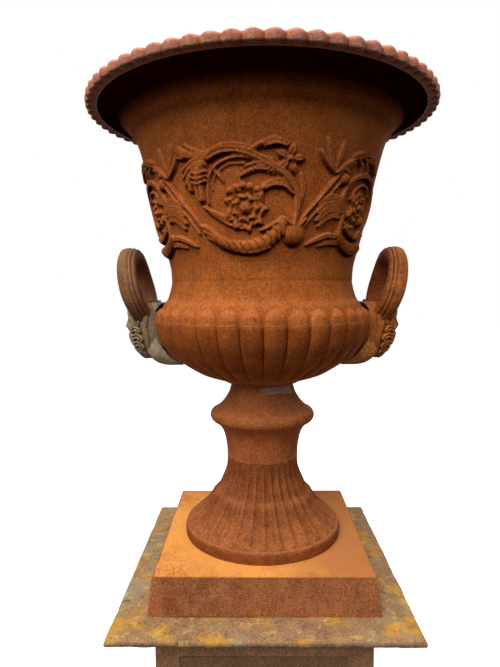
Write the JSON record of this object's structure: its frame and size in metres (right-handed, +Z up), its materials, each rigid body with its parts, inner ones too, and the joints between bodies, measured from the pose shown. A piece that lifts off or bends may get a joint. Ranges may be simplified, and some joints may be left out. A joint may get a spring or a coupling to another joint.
{
  "type": "urn planter",
  "caption": "Campana-shaped cast-iron garden urn with a lobed rim, scroll frieze, gadrooned bowl and mask handles, on a fluted socle, square plinth and pedestal.",
  "frame": {"origin": "centre of the pedestal's foot, on the ground", "axes": "+Z up; -Y is the front; the two mask handles stand at +X and -X"},
  "size_m": [0.615, 0.615, 1.328],
  "materials": {
    "urn_rust": "fully rusted cast iron, granular, orange-brown, with darker and purple-grey worn places",
    "handle_rust": "rusted cast iron, warm orange-brown, worn smoother",
    "handle_patina": "rusted cast iron with a grey-green patina",
    "plinth_rust": "bright orange rust on top, dark red-brown on the sides",
    "pedestal_lichened": "weathered brown and grey-green, with yellow lichen",
    "pedestal_iron": "rusted cast iron, dull red-brown",
    "fixings": "rusted steel"
  },
  "bodies": {
    "root": {"pedestal_foot": "pedestal_lichened", "pedestal_panel_front": "pedestal_iron", "pedestal_panel_right": "pedestal_iron", "pedestal_panel_back": "pedestal_iron", "pedestal_panel_left": "pedestal_iron", "pedestal_cap": "pedestal_lichened", "pedestal_stud_1": "fixings", "pedestal_stud_nut_1": "fixings", "pedestal_stud_2": "fixings", "pedestal_stud_nut_2": "fixings", "pedestal_stud_3": "fixings", "pedestal_stud_nut_3": "fixings", "pedestal_stud_4": "fixings", "pedestal_stud_nut_4": "fixings", "urn_plinth": "plinth_rust", "socle": "urn_rust", "gadrooned_bowl": "urn_rust", "campana_body": "urn_rust", "mask_handle_right": "handle_rust", "mask_handle_left": "handle_patina", "handle_bolt_right_upper": "fixings", "handle_bolt_right_lower": "fixings", "handle_bolt_left_upper": "fixings", "handle_bolt_left_lower": "fixings", "joint_bolt_1": "fixings", "joint_nut_1": "fixings", "joint_bolt_2": "fixings", "joint_nut_2": "fixings", "joint_bolt_3": "fixings", "joint_nut_3": "fixings", "joint_bolt_4": "fixings", "joint_nut_4": "fixings", "tie_rod": "fixings", "tie_rod_nut_top": "fixings", "tie_rod_nut_bottom": "fixings", "tie_rod_washer_top": "fixings", "tie_rod_clamp_plate": "fixings"}
  },
  "joints": []
}
